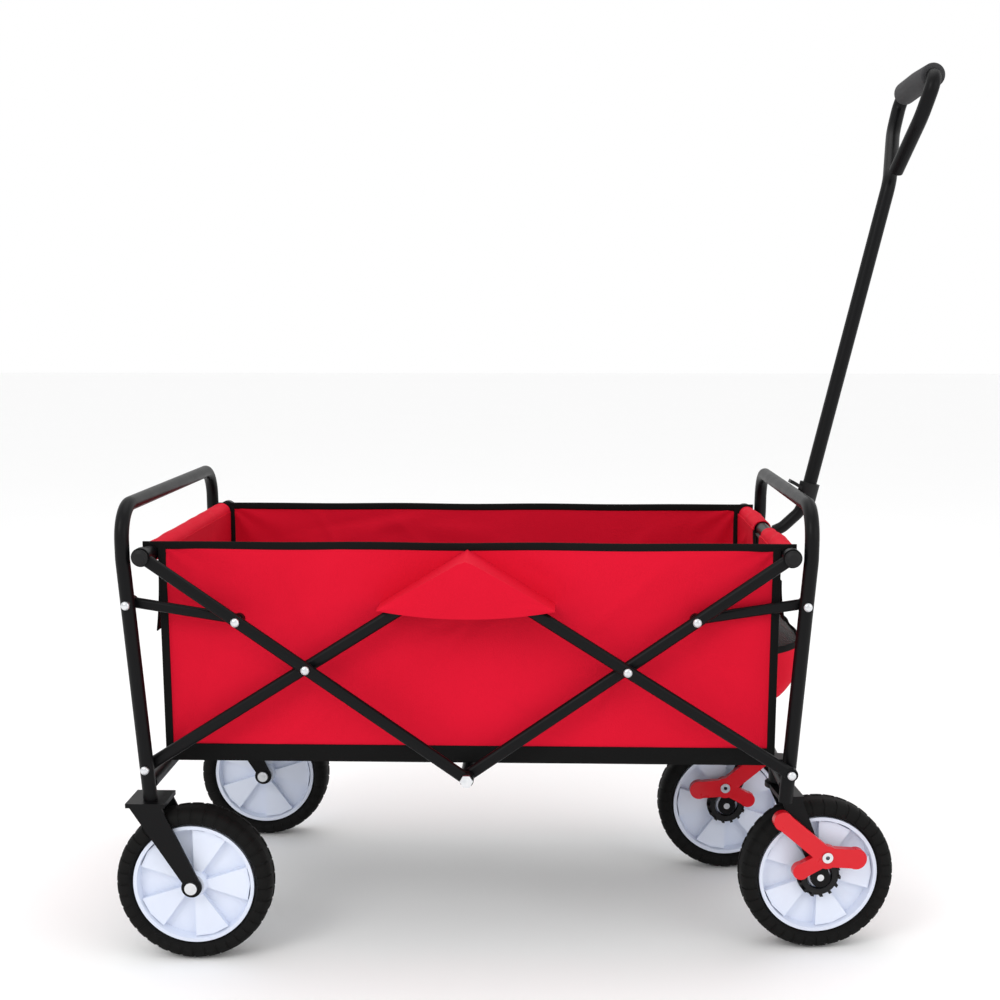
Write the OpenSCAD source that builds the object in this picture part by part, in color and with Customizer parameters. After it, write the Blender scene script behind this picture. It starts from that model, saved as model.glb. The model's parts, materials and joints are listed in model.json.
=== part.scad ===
// Folding camp wagon: two hooped end frames, a pair of scissor linkages, a fabric basket,
// two fixed rear wheels, two braked front casters and a pull handle.
// X runs along the wagon (+X is the handle end), Y across it, Z up. Units are millimetres.

/* [Wheels] */
// Diameter of every wheel over its tyre
wheel_d = 178; // [150:1:200]
// Width of a tyre
tyre_w = 41; // [34:1:46]
// Diameter of the plastic rim that the tyre sits on
rim_d = 138; // [116:1:142]
// Length of the hub across the wheel
hub_l = 37; // [30:1:38]
// Diameter of the axle bolts
axle_d = 8; // [6:0.5:10]
// Distance from the leg foot forward to the rear axle
rear_axle_x = 49; // [35:1:60]
// Distance from the middle plane to a rear wheel's middle
rear_wheel_y = 207; // [204:1:225]
// Teeth on the brake ring of a front wheel
ring_teeth = 14; // [14:2:18]
// Tip radius of the brake ring
ring_r = 25; // [24:0.5:30]

/* [Scissor linkage] */
// Height of the bottom centre pivot
centre_z = 214.4; // [205:0.1:240]
// Centre pivot to cross pivot, along a long bar
long_lower = 216.8; // [190:0.1:260]
// Cross pivot to top tube, along a long bar
long_upper = 217; // [195:0.1:250]
// Cross pivot to foot pivot, along a short bar
short_lower = 215.5; // [190:0.1:250]
// Slope of the long bars when open
long_slope = 35.1; // [30:0.1:40]
// Slope of the short bars when open
short_slope = 32.3; // [28:0.1:36]
// Cross pivot to link pivot, along a long bar
link_station = 92.7; // [75:0.1:110]
// Height of a bar's section, in the plane of the linkage
bar_h = 14; // [11:0.5:16]
// Thickness of a bar's section, across the linkage
bar_t = 10; // [8:0.5:10]
// Thickness of a link
link_t = 8; // [5:0.5:8]
// Height of a link's section
link_h = 12; // [9:0.5:14]
// Diameter of the pivot bolts
bolt_d = 6; // [5:0.5:7]
// Play between a bolt and its hole, on the radius
bolt_play = 0.05; // [0.02:0.01:0.1]

/* [End frames] */
// Middle plane to the outer row of bars, which is also the rear legs' plane
outer_y = 216; // [200:1:240]
// Distance between the outer and the inner row of bars
row_gap = 14; // [14:0.5:16]
// Diameter of the frame tubes
tube_d = 16; // [14:0.5:16]
// Foot pivot to link pivot, along a leg
leg_pivots = 187.65; // [170:0.1:205]
// Lean of the lower leg
leg_lean = 3.97; // [2:0.1:6]
// Link pivot to the middle of the hoop's top tube
hoop_rise = 107; // [80:1:130]
// Bend radius of a hoop's corners
hoop_r = 38; // [28:1:50]
// Height of the lower cross tubes
lower_tube_z = 205; // [203:1:215]

/* [Casters] */
// Middle plane to a caster's swivel axis
caster_y = 128; // [115:1:140]
// Distance that a front wheel trails its swivel axis
caster_trail = 36.7; // [28:0.5:45]
// Sideways offset of a front wheel from its swivel axis
caster_offset = 30.6; // [28:0.5:36]
// Swivel of the near caster at rest
near_swivel = 6; // [0:1:8]
// Swivel of the far caster at rest
far_swivel = 1; // [0:1:4]
// Thickness of the pressed steel fork and yoke plates
plate_t = 3; // [2:0.5:4]
// Travel of a brake pedal
pedal_travel = 9; // [6:1:10]

/* [Handle] */
// Diameter of the lower handle tube
lower_handle_d = 14; // [12:0.5:15]
// Diameter of the upper handle tube
upper_handle_d = 16.5; // [15:0.5:18]
// Length of the straight upper tube
handle_l = 375; // [300:5:420]
// Height of the hand loop
loop_h = 112; // [95:1:130]
// Half width of the hand loop
loop_w = 84; // [70:1:95]
// Diameter of the foam grip
grip_d = 27; // [24:0.5:32]

/* [Basket] */
// Half length of the basket
basket_x = 345; // [300:1:345]
// Half width of the basket
basket_y = 181; // [160:1:181]
// Height of the basket's underside
basket_z = 233; // [232:1:245]
// Height of the basket's rim
rim_z = 475; // [455:1:490]
// Thickness of a fabric wall with its lining and binding
wall_t = 2.5; // [2:0.5:4]
// Thickness of a floor panel
panel_t = 4; // [3:0.5:6]
// Width of the cut-out for the handle in the front wall
handle_notch = 60; // [44:1:90]
// Gap between moving pieces that aren't a fit
gap = 0.5; // [0.3:0.1:1]

/* [Hidden] */
$fn = 48;

black = [0.05, 0.05, 0.055];
zinc = [0.75, 0.76, 0.78];
red = [0.85, 0.04, 0.1];
white = [0.86, 0.88, 0.96];
rubber = [0.07, 0.07, 0.07];

// Linkage points of the front half, as [x, z]; the rear half is their mirror image.
cross_p = [long_lower * cos(long_slope), centre_z + long_lower * sin(long_slope)];
top_p = cross_p + long_upper * [cos(long_slope), sin(long_slope)];
link_p = cross_p + link_station * [cos(long_slope), sin(long_slope)];
short_upper = cross_p.x / cos(short_slope);
peak_p = [0, cross_p.y + short_upper * sin(short_slope)];
foot_p = cross_p + short_lower * [cos(short_slope), -sin(short_slope)];
leg_dir = [sin(leg_lean), cos(leg_lean)];
leg_p = foot_p + leg_pivots * leg_dir;
hoop_z = leg_p.y + hoop_rise;
hoop_bend = 50;
hoop_x = leg_p.x + hoop_bend * tan(leg_lean);

// Rows of bars, across the wagon
inner_y = outer_y - row_gap;
front_link_y = inner_y - tube_d / 2 - gap - link_t / 2;
tube_r = tube_d / 2;
bolt_r = bolt_d / 2;
hole_r = bolt_r + bolt_play;
head_r = bolt_r + 1.7;
head_h = 3;
nut_h = 3;
centre_bolt_r = bolt_r + 1;
peak_hole_r = bolt_r + 2.5;

// Wheels
wheel_r = wheel_d / 2;
rim_r = rim_d / 2;
axle_r = axle_d / 2;
rear_hub_x = foot_p.x - rear_axle_x;
plate_z = wheel_d + 4;
plate_top = plate_z + plate_t + 2;
arm_gap = 2.2;

// Casters
caster_x = foot_p.x + 2;
fork_inner = caster_offset - tyre_w / 2 - arm_gap - plate_t;
fork_outer = caster_offset + tyre_w / 2 + arm_gap;
stem_r = 9;
rivet = [4, 28];
ring_root = ring_r - 4;
pawl_r = 1.9;

// Handle, as [x, z] in the middle plane
saddle_r = tube_r + 0.1;
clip_p = top_p + [49, 49];
handle_lean = 12.7;
handle_dir = [sin(handle_lean), cos(handle_lean)];
loop_lean = 14.7;
loop_dir = [sin(loop_lean), cos(loop_lean)];
kink_p = clip_p + handle_l * handle_dir;
grip_p = kink_p + loop_h * loop_dir;

// The model's origin is under the middle of its overall box.
x_low = -rear_hub_x - wheel_r;
x_high = grip_p.x + grip_d / 2;
x_shift = -(x_low + x_high) / 2;

// Moves everything from the linkage's middle to the model's own origin.
module place() {
  translate([x_shift, 0, 0]) children();
}

// A point of the linkage, on the front (1) or rear (-1) half, at a distance across the wagon
function at(p, end, y) = [end * p.x, y, p.y];

// A round rod between two points
module rod(a, b, r) {
  v = b - a;
  l = norm(v);
  translate(a) rotate([0, acos(v.z / l), atan2(v.y, v.x)]) cylinder(h = l, r = r);
}

function unit(v) = v / norm(v);
function dir(p, i) = unit(p[i + 1] - p[i]);
function turn_at(p, i) = acos(dir(p, i - 1) * dir(p, i));

// Length of straight that a bend of radius bend takes up on each side of point i
function setback(p, i, bend) = i == 0 || i == len(p) - 1 ? 0 : bend[i - 1] * tan(turn_at(p, i) / 2);

// Angle that a bend runs on inside the straights it joins
function lap(bend) = 0.4 / bend * 180 / PI;

// A round rod through a row of points, with a true bend of its own radius at each inner point
module bent_rod(p, bend, r) {
  for (i = [0 : len(p) - 2])
    rod(p[i] + setback(p, i, bend) * dir(p, i), p[i + 1] - setback(p, i + 1, bend) * dir(p, i), r);
  for (i = [1 : 1 : len(p) - 2]) {
    u = dir(p, i - 1);
    v = dir(p, i);
    w = unit(v - (u * v) * u);
    n = cross(u, w);
    c = p[i] - setback(p, i, bend) * u + bend[i - 1] * w;
    multmatrix([[-w.x, u.x, n.x, c.x], [-w.y, u.y, n.y, c.y], [-w.z, u.z, n.z, c.z], [0, 0, 0, 1]])
      rotate([0, 0, -lap(bend[i - 1])]) rotate_extrude(angle = turn_at(p, i) + 2 * lap(bend[i - 1]))
        translate([bend[i - 1], 0]) circle(r = r - 0.04);
  }
}

// A cylinder across the wagon, from y0 to y1, around a linkage point
module across(p, end, y0, y1, r) {
  translate(at(p, end, min(y0, y1))) rotate([-90, 0, 0]) cylinder(h = abs(y1 - y0), r = r);
}

// A flat-sided tube of oval section between two linkage points, running on past each by over
module oval_bar(a, b, end, y, h, t, over) {
  v = b - a;
  l = norm(v);
  lift = end * atan2(v.y, v.x) + (end < 0 ? 180 : 0);
  translate(at(a, end, y)) rotate([0, -lift, 0]) translate([-over, 0, 0]) rotate([90, 0, 90])
    linear_extrude(height = l + 2 * over) union() {
      square([t, h - t], center = true);
      for (s = [-1, 1]) translate([0, s * (h - t) / 2]) circle(d = t);
    }
}

// A pan-headed bolt: head at y_head, shank to y_tip, and a nut there, on side s
module bolt(p, end, s, y_head, y_tip, r) {
  across(p, end, s * y_head, s * y_tip, r);
  across(p, end, s * y_head, s * (y_head + head_h), r + 1.7);
  across(p, end, s * y_tip, s * (y_tip + nut_h), r + 1.7);
}

// A long bar: pivot bore at the centre, bores at the cross and link pivots, eye round the top tube
module long_bar(end, y) {
  color(black) place() difference() {
    union() {
      oval_bar([0, centre_z], top_p, end, y, bar_h, bar_t, 0);
      across([0, centre_z], end, y - bar_t / 2, y + bar_t / 2, bar_h / 2 + 1);
      across(top_p, end, y - bar_t / 2, y + bar_t / 2, tube_r + 2.5);
    }
    across([0, centre_z], end, y - bar_t, y + bar_t, centre_bolt_r + bolt_play);
    across(cross_p, end, y - bar_t, y + bar_t, hole_r);
    across(link_p, end, y - bar_t, y + bar_t, hole_r);
    across(top_p, end, y - bar_t, y + bar_t, tube_r);
  }
}

// A short bar: bores at the foot and cross pivots, and hole_top at the peak
module short_bar(end, y, hole_top) {
  color(black) place() difference() {
    union() {
      oval_bar(foot_p, peak_p, end, y, bar_h, bar_t, 0);
      across(foot_p, end, y - bar_t / 2, y + bar_t / 2, bar_h / 2 + 0.5);
      across(peak_p, end, y - bar_t / 2, y + bar_t / 2, bar_h / 2 + 1.5);
    }
    across(foot_p, end, y - bar_t, y + bar_t, hole_r);
    across(cross_p, end, y - bar_t, y + bar_t, hole_r);
    across(peak_p, end, y - bar_t, y + bar_t, hole_top);
  }
}

// A link from the long bar to the leg, with a bore at the bar and a wider lug at the leg
module link(end, y) {
  color(black) place() difference() {
    union() {
      oval_bar(link_p, leg_p, end, y, link_h, link_t, 0);
      across(link_p, end, y - link_t / 2, y + link_t / 2, link_h / 2 + 0.5);
      across(leg_p, end, y - link_t / 2, y + link_t / 2, link_h / 2 + 1.5);
    }
    across(link_p, end, y - link_t, y + link_t, hole_r);
  }
}

module centre_tube() {
  color(black) place()
    across([0, centre_z], 1, -(inner_y - bar_t / 2 - gap), inner_y - bar_t / 2 - gap, tube_r);
}

// Hex bolts that hold both long bars on the ends of the centre tube
module centre_bolts() {
  y0 = inner_y - bar_t / 2 - gap;
  y1 = outer_y + bar_t / 2 + gap;
  color(zinc) place() for (s = [-1, 1]) {
    across([0, centre_z], 1, s * y0, s * y1, centre_bolt_r);
    translate([0, s * (y1 + 2.5), centre_z]) rotate([90, 0, 0]) cylinder(h = 5, r = 7.5, $fn = 6, center = true);
    across([0, centre_z], 1, s * (inner_y + bar_t / 2 + gap), s * (outer_y - bar_t / 2 - gap), head_r + 1);
  }
}

// The top tube joins the two long bars of one end.
module top_tube(end, y) {
  color(black) place() across(top_p, end, -(y + bar_t / 2 + 1), y + bar_t / 2 + 1, tube_r);
}

// Push-on caps close the ends of a top tube.
module top_caps(end, y) {
  color(black) place() for (s = [-1, 1]) {
    y0 = y + bar_t / 2 + 1;
    across(top_p, end, s * y0, s * (y0 + 3), tube_r + 1);
    translate(at(top_p, end, s * (y0 + 2.5))) rotate([-s * 90, 0, 0]) cylinder(h = 2.5, r1 = tube_r + 1, r2 = tube_r - 3);
  }
}

// Bolts at the cross and link pivots of the rear end, with spacers between the two rows
module rear_scissor_bolts() {
  head_y = outer_y + bar_t / 2;
  color(zinc) place() for (s = [-1, 1]) {
    bolt(cross_p, -1, s, head_y, inner_y - bar_t / 2 - gap - nut_h, bolt_r);
    across(cross_p, -1, s * (inner_y + bar_t / 2 + gap), s * (outer_y - bar_t / 2), head_r);
    bolt(link_p, -1, s, head_y, inner_y - link_t / 2 - gap - nut_h, bolt_r);
    across(link_p, -1, s * (inner_y + link_t / 2 + gap), s * (outer_y - bar_t / 2), head_r);
  }
}

// Bolts at the cross and link pivots of the front end
module front_scissor_bolts() {
  color(zinc) place() for (s = [-1, 1]) {
    bolt(cross_p, 1, s, outer_y + bar_t / 2 + gap, inner_y - bar_t / 2 - nut_h, bolt_r);
    across(cross_p, 1, s * (inner_y + bar_t / 2), s * (outer_y - bar_t / 2 - gap), head_r);
    bolt(link_p, 1, s, inner_y + bar_t / 2, front_link_y - link_t / 2 - gap - nut_h, bolt_r);
    across(link_p, 1, s * (front_link_y + link_t / 2 + gap), s * (inner_y - bar_t / 2), head_r);
  }
}

// The bolt through the two short bars at the peak; the inner bar has a wide hole round it.
module top_bolt(s) {
  color(zinc) place() {
    across(peak_p, 1, s * (inner_y - bar_t / 2 - gap), s * (outer_y + bar_t / 2), bolt_r);
    across(peak_p, 1, s * (outer_y + bar_t / 2), s * (outer_y + bar_t / 2 + head_h), head_r);
    across(peak_p, 1, s * (inner_y - bar_t / 2 - gap - nut_h), s * (inner_y - bar_t / 2 - gap), peak_hole_r + 1.5);
  }
}

// One hoop: two leaning legs, upright above the link pivot, and a top tube with round corners
module hoop(end, y) {
  foot = foot_p - (foot_p.y - plate_top) / leg_dir.y * leg_dir;
  bend_p = [hoop_x, leg_p.y + hoop_bend];
  corner = [hoop_x, hoop_z];
  color(black) place() difference() {
    bent_rod([at(foot, end, -y), at(bend_p, end, -y), at(corner, end, -y), at(corner, end, y),
              at(bend_p, end, y), at(foot, end, y)], [60, hoop_r, hoop_r, 60], tube_r);
    for (s = [-1, 1]) {
      across(foot_p, end, s * (y - tube_d), s * (y + tube_d), hole_r);
      across(leg_p, end, s * (y - tube_d), s * (y + tube_d), bolt_r);
    }
  }
}

// A cross tube welded between the feet of a hoop
module lower_tube(end, y) {
  p = foot_p - (foot_p.y - lower_tube_z) / leg_dir.y * leg_dir;
  color(black) place() across(p, end, -(y - tube_r + 1.5), y - tube_r + 1.5, tube_r);
}

// Rear leg bolts: the foot bolt carries the short bar, the link bolt ends inside the leg.
module rear_frame_bolts() {
  color(zinc) place() for (s = [-1, 1]) {
    bolt(foot_p, -1, s, outer_y + tube_r, inner_y - bar_t / 2 - gap - nut_h, bolt_r);
    across(leg_p, -1, s * (outer_y - tube_r), s * (outer_y + tube_r), bolt_r);
    across(leg_p, -1, s * (outer_y + tube_r - 1), s * (outer_y + tube_r + head_h), head_r);
  }
}

// Front leg bolts: the short bar is outside the leg here.
module front_frame_bolts() {
  color(zinc) place() for (s = [-1, 1]) {
    bolt(foot_p, 1, s, outer_y + bar_t / 2 + gap, inner_y - tube_r - nut_h, bolt_r);
    across(leg_p, 1, s * (inner_y - tube_r), s * (inner_y + tube_r), bolt_r);
    across(leg_p, 1, s * (inner_y + tube_r - 1), s * (inner_y + tube_r + head_h), head_r);
  }
}

// Outline of a fork arm: from the crown at [x0, z0], 28 wide, tapering to the hub at the origin
module arm_outline(x0, z0, half_top) {
  polygon([[x0 - half_top, z0], [x0 + half_top, z0], [10, 5], [10, -5], [-10, -5], [-10, 5]]);
  circle(r = 11.5);
}

// A pressed steel yoke over each rear wheel, under the foot of the leg
module rear_yokes() {
  half = tyre_w / 2 + arm_gap + plate_t;
  crown_x = rear_axle_x;
  color(black) place() for (s = [-1, 1]) translate([-rear_hub_x, s * rear_wheel_y, wheel_r]) difference() {
    union() {
      translate([-crown_x - 22, -half, plate_z - wheel_r]) cube([44, 2 * half, plate_t + 2]);
      for (a = [-1, 1]) translate([0, a * (half - plate_t / 2), 0]) rotate([90, 0, 0])
        linear_extrude(height = plate_t, center = true) arm_outline(-crown_x, plate_z + 1 - wheel_r, 18);
    }
    rotate([90, 0, 0]) cylinder(h = 4 * half, r = axle_r, center = true);
  }
}

// Axle bolts of the rear wheels, with a domed head outside and a nut inside
module rear_axles() {
  half = tyre_w / 2 + arm_gap + plate_t;
  color(zinc) place() for (s = [-1, 1]) translate([-rear_hub_x, s * rear_wheel_y, wheel_r]) {
    rotate([90, 0, 0]) cylinder(h = 2 * half, r = axle_r, center = true);
    for (a = [-1, 1]) translate([0, a * (half + 2), 0]) rotate([90, 0, 0]) cylinder(h = 4, r = 7, center = true);
  }
}

// Sockets under the front lower tube, in which the caster stems turn
module stem_sockets() {
  color(black) place() for (s = [-1, 1]) difference() {
    translate([caster_x, s * caster_y, plate_top + 1]) cylinder(h = 30, r = stem_r + 4);
    translate([caster_x, s * caster_y, plate_top]) cylinder(h = 26.5, r = stem_r + 0.1);
  }
}

module front_lower_tube() {
  p = foot_p - (foot_p.y - lower_tube_z) / leg_dir.y * leg_dir;
  color(black) place() difference() {
    across(p, 1, -(inner_y - tube_r + 1.5), inner_y - tube_r + 1.5, tube_r);
    for (s = [-1, 1]) translate([caster_x, s * caster_y, 0]) cylinder(h = 2 * lower_tube_z, r = stem_r + 4);
  }
}

// A tyre: round tread with square-cut shoulders, standing on the rim
module tyre_at() {
  h = tyre_w / 2;
  rotate([90, 0, 0]) rotate_extrude($fn = 96)
    polygon([[rim_r, -h + 5], [rim_r + 4, -h], [wheel_r - 9, -h], [wheel_r - 1.5, -h + 9], [wheel_r, 0],
             [wheel_r - 1.5, h - 9], [wheel_r - 9, h], [rim_r + 4, h], [rim_r, h - 5]]);
}

// A rim: hub, web and outer ring, with five raised wedges on each face
module rim_at() {
  h = tyre_w / 2 - 5;
  difference() {
    union() {
      rotate([90, 0, 0]) rotate_extrude($fn = 96)
        polygon([[axle_r + 0.05, -hub_l / 2], [13, -hub_l / 2], [15, -h + 3], [15, -3], [rim_r - 6, -3],
                 [rim_r - 4, -h], [rim_r, -h], [rim_r, h], [rim_r - 4, h], [rim_r - 6, 3], [15, 3],
                 [15, h - 3], [13, hub_l / 2], [axle_r + 0.05, hub_l / 2]]);
      for (k = [0 : 4]) rotate([0, k * 72, 0]) rotate([90, 0, 0]) linear_extrude(height = 2 * h - 8, center = true)
        polygon([[14 * cos(18), -14 * sin(18)], [(rim_r - 5.5) * cos(18), -(rim_r - 5.5) * sin(18)],
                 [rim_r - 5.2, 0], [(rim_r - 5.5) * cos(18), (rim_r - 5.5) * sin(18)], [14 * cos(18), 14 * sin(18)]]);
    }
    rotate([90, 0, 0]) cylinder(h = 2 * hub_l, r = axle_r + 0.05, center = true);
  }
}

// The toothed ring on the outer face of a front wheel; the pawl drops between two teeth.
module ring_at() {
  pitch = 360 / ring_teeth;
  y0 = -(tyre_w / 2) - 0.8;
  difference() {
    translate([0, y0, 0]) rotate([-90, 0, 0]) difference() {
      cylinder(h = 8, r = ring_r);
      translate([0, 0, -1]) cylinder(h = 10, r = 15.2);
    }
    for (k = [0 : ring_teeth - 1]) rotate([0, -pawl_angle - k * pitch, 0])
      translate([ring_root, y0 - 1, -3.7]) cube([10, 8, 7.4]);
  }
}

// Where the pawl seats on the ring, seen from outside with the caster trailing to the right
pawl_angle = 162;
seated = (ring_root + pawl_r + 1) * [cos(pawl_angle), sin(pawl_angle)];
arm_v = seated - rivet;
pawl = rivet + [arm_v.x * cos(pedal_travel) + arm_v.y * sin(pedal_travel),
                arm_v.y * cos(pedal_travel) - arm_v.x * sin(pedal_travel)];

// Puts a caster's pieces at their place: wheel centre as origin, trail along +X, brake towards -Y
module caster_place(s) {
  turn = s < 0 ? near_swivel : 180 + far_swivel;
  translate([caster_x, s * caster_y, 0]) rotate([0, 0, turn]) mirror([0, s < 0 ? 0 : 1, 0])
    translate([caster_trail, -caster_offset, wheel_r]) children();
}

// Fork: stem, crown over the tyre, an arm beside the stem and a strap outside the wheel
module caster_fork(s) {
  inner = -caster_offset + fork_inner;
  color(black) place() caster_place(s) difference() {
    union() {
      translate([-caster_trail, caster_offset, plate_z - wheel_r]) {
        cylinder(h = plate_t + 2, r = 17);
        cylinder(h = 29, r = stem_r);
      }
      translate([-caster_trail - 14, caster_offset - fork_outer - plate_t, plate_z - wheel_r])
        cube([28, fork_outer + plate_t, plate_t + 2]);
      translate([0, caster_offset - fork_inner - plate_t / 2, 0]) rotate([90, 0, 0])
        linear_extrude(height = plate_t, center = true) arm_outline(-caster_trail, plate_z + 1 - wheel_r, 14);
      translate([0, caster_offset - fork_outer - plate_t / 2, 0]) rotate([90, 0, 0])
        linear_extrude(height = plate_t, center = true) arm_outline(-caster_trail, plate_z + 1 - wheel_r, 12);
    }
    rotate([90, 0, 0]) cylinder(h = 200, r = axle_r, center = true);
    translate([rivet.x, 0, rivet.y]) rotate([90, 0, 0]) cylinder(h = 100, r = 4);
  }
}

// Axle bolt of a front wheel, and the hollow rivet that the pedal turns on
module caster_axle(s) {
  y_in = caster_offset - fork_inner;
  y_out = caster_offset - fork_outer - plate_t;
  color(zinc) place() caster_place(s) {
    translate([0, y_in, 0]) rotate([90, 0, 0]) cylinder(h = y_in - y_out, r = axle_r);
    translate([0, y_in + 4, 0]) rotate([90, 0, 0]) cylinder(h = 4, r = 7);
    translate([rivet.x, y_out + plate_t, rivet.y]) rotate([90, 0, 0]) difference() {
      union() {
        cylinder(h = plate_t + 10.9, r = 4);
        translate([0, 0, plate_t + 10.4]) cylinder(h = 1.2, r = 6.2);
      }
      translate([0, 0, -1]) cylinder(h = 20, r = 2.4);
    }
  }
}

// Outline of a pedal arm: slightly waisted, with a round end
module arm2d(a, b, r) {
  v = b - a;
  translate(a) rotate(atan2(v.y, v.x)) translate([0, 0.8 - r]) square([norm(v), 2 * r - 1.6]);
  translate(b) circle(r = r);
}

// Outline of a pedal, drawn in from its edge by inset
module pedal2d(inset) {
  translate(rivet) circle(r = 13.5 - inset);
  arm2d(rivet, rivet + [-52, 44], 11 - inset);
  arm2d(rivet, rivet + [34, -3], 12 - inset);
  arm2d(rivet, pawl, 9.5 - inset);
}

// A brake pedal: a three-armed pressed channel on the rivet, with the pawl pin on its lower arm
module brake_pedal(s) {
  y_out = caster_offset - fork_outer - plate_t - gap;
  color(red) place() caster_place(s) difference() {
    union() {
      translate([0, y_out, 0]) rotate([90, 0, 0]) difference() {
        linear_extrude(height = 9.5) pedal2d(0);
        translate([0, 0, -1]) linear_extrude(height = 8) pedal2d(2);
      }
      translate([pawl.x, y_out - 9, pawl.y]) rotate([-90, 0, 0]) cylinder(h = 14.5, r = pawl_r);
      translate([rivet.x, y_out - 9, rivet.y]) rotate([-90, 0, 0]) cylinder(h = 9, r = 7);
    }
    translate([rivet.x, y_out + 5, rivet.y]) rotate([90, 0, 0]) cylinder(h = 60, r = 4 + bolt_play);
  }
}

module wheel_rear(s) {
  translate([-rear_hub_x, s * rear_wheel_y, wheel_r]) children();
}

module rear_tyre(s) { color(rubber) place() wheel_rear(s) tyre_at(); }
module rear_rim(s) { color(white) place() wheel_rear(s) rim_at(); }
module front_tyre(s) { color(rubber) place() caster_place(s) tyre_at(); }
module front_rim(s) { color(white) place() caster_place(s) rim_at(); }
module brake_ring(s) { color(rubber) place() caster_place(s) ring_at(); }

// A point in the handle's middle plane
function mid(p, y = 0) = [p.x, y, p.y];

// The lower handle tube: a cradle under the front top tube, a bend under the hoop, and a straight end
module handle_lower_tube() {
  out_p = top_p + [saddle_r + 2, 1.5];
  color(black) place() {
    difference() {
      translate(mid(top_p, 18)) rotate([90, 0, 0]) cylinder(h = 36, r = saddle_r + 3);
      translate(mid(top_p, 19)) rotate([90, 0, 0]) cylinder(h = 38, r = saddle_r);
      translate(mid(top_p)) rotate([0, -22, 0]) translate([-30, -20, 0]) cube([60, 40, 30]);
    }
    bent_rod([mid(out_p), mid(top_p + [20.5, 6.5]), mid(top_p + [40, 25]), mid(clip_p - 3 * handle_dir),
              mid(clip_p + 60 * handle_dir)], [24, 24, 24], lower_handle_d / 2);
  }
}

// A plastic ferrule on the lower tube, with a lip that snaps over the hoop's top tube
module handle_clip() {
  hoop_v = [hoop_x, hoop_z] - top_p;
  lip_r = norm(hoop_v) + tube_r + gap;
  from = atan2(49, 49) - 2;
  to = atan2(hoop_v.y, hoop_v.x) - 2;
  color(black) place() difference() {
    union() {
      rod(mid(clip_p - 9 * handle_dir), mid(clip_p + 12 * handle_dir), 12);
      translate(mid(top_p)) rotate([90, 0, 0]) linear_extrude(height = 16, center = true) intersection() {
        difference() {
          circle(r = lip_r + 4);
          circle(r = lip_r);
        }
        polygon([[0, 0], 100 * [cos(from), sin(from)], 100 * [cos(to), sin(to)]]);
      }
    }
    rod(mid(clip_p - 30 * handle_dir), mid(clip_p + 30 * handle_dir), lower_handle_d / 2);
  }
}

// A point of the hand loop: up along its lean, and across
function loop_pt(u, y) = mid(kink_p + u * loop_dir, y);

// The upper tube: straight from the ferrule to the kink, then round the hand loop to a cut end
module handle_upper_tube() {
  color(black) place() difference() {
    bent_rod([mid(clip_p + 12 * handle_dir), mid(kink_p), loop_pt(66, loop_w - 14), loop_pt(loop_h, loop_w),
              loop_pt(loop_h, -loop_w), loop_pt(66, 14 - loop_w), loop_pt(10, -20)],
             [30, 50, 16, 16, 50], upper_handle_d / 2);
    rod(mid(clip_p - 20 * handle_dir), mid(clip_p + 61 * handle_dir), lower_handle_d / 2);
    rod(loop_pt(38, -45), loop_pt(3, -13.75), upper_handle_d / 2 - 1.5);
  }
}

// Foam grip on the top of the hand loop
module handle_grip() {
  half = loop_w - 17;
  color([0.1, 0.1, 0.11]) place() difference() {
    rod(loop_pt(loop_h, -half), loop_pt(loop_h, half), grip_d / 2);
    rod(loop_pt(loop_h, -loop_w), loop_pt(loop_h, loop_w), upper_handle_d / 2);
  }
}

// Near and far fabric walls
module side_walls() {
  color(red) place() for (s = [-1, 1])
    translate([-basket_x, s > 0 ? basket_y - wall_t : -basket_y, basket_z]) cube([2 * basket_x, wall_t, rim_z - basket_z]);
}

// Front and rear fabric walls, between the side walls; the front one is cut out for the handle
module end_walls() {
  w = basket_y - wall_t;
  color(red) place() difference() {
    for (s = [-1, 1])
      translate([s > 0 ? basket_x - wall_t : -basket_x, -w, basket_z]) cube([wall_t, 2 * w, rim_z - basket_z - 8]);
    translate([basket_x - 2 * wall_t, -handle_notch / 2, top_p.y - 18]) cube([3 * wall_t, handle_notch, 60]);
  }
}

module basket_floor() {
  color(black) place() translate([wall_t - basket_x, wall_t - basket_y, basket_z])
    cube([2 * (basket_x - wall_t), 2 * (basket_y - wall_t), wall_t]);
}

// A flap of fabric on each side, from the rim out over the peak of the short bars
module side_flaps() {
  front_y = outer_y + bar_t / 2 + head_h + 1.5;
  top = peak_p.y + bar_h / 2 + 9;
  low = top - 56;
  color(red) place() for (s = [-1, 1]) {
    translate([0, s * (front_y + 0.75), 0]) rotate([90, 0, 0]) linear_extrude(height = 1.5, center = true)
      polygon([[0, top], [-93, low], [-50, low - 6], [0, low - 8], [50, low - 6], [93, low]]);
    for (e = [-1, 1]) hull() {
      for (p = [[0, front_y + 0.75, top], [e * 92, front_y + 0.75, low], [0, basket_y + 1, rim_z - 2],
                [e * 98, basket_y + 1, low + 1]])
        translate([p.x, s * p.y, p.z]) sphere(r = 0.75, $fn = 8);
    }
  }
}

// A pouch on the outside of the front wall: mesh above, a sagging fabric pocket below
module front_pouch() {
  color(red) place() translate([basket_x, 0, 0]) rotate([90, 0, 0]) linear_extrude(height = 290, center = true)
    polygon([[0, 292], [30, 290], [42, 298], [48, 315], [46, 345], [30, 385], [0, 392]]);
}

panel_l = (basket_x - wall_t - 2) / 2;
panel_z = basket_z + wall_t + gap;

// A stiff floor panel, counted from the rear
module floor_panel(i) {
  color([0.12, 0.12, 0.13]) place() translate([(i - 3) * panel_l + gap / 2, -(basket_y - wall_t - 6), panel_z])
    cube([panel_l - gap, 2 * (basket_y - wall_t - 6), panel_t]);
}

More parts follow.
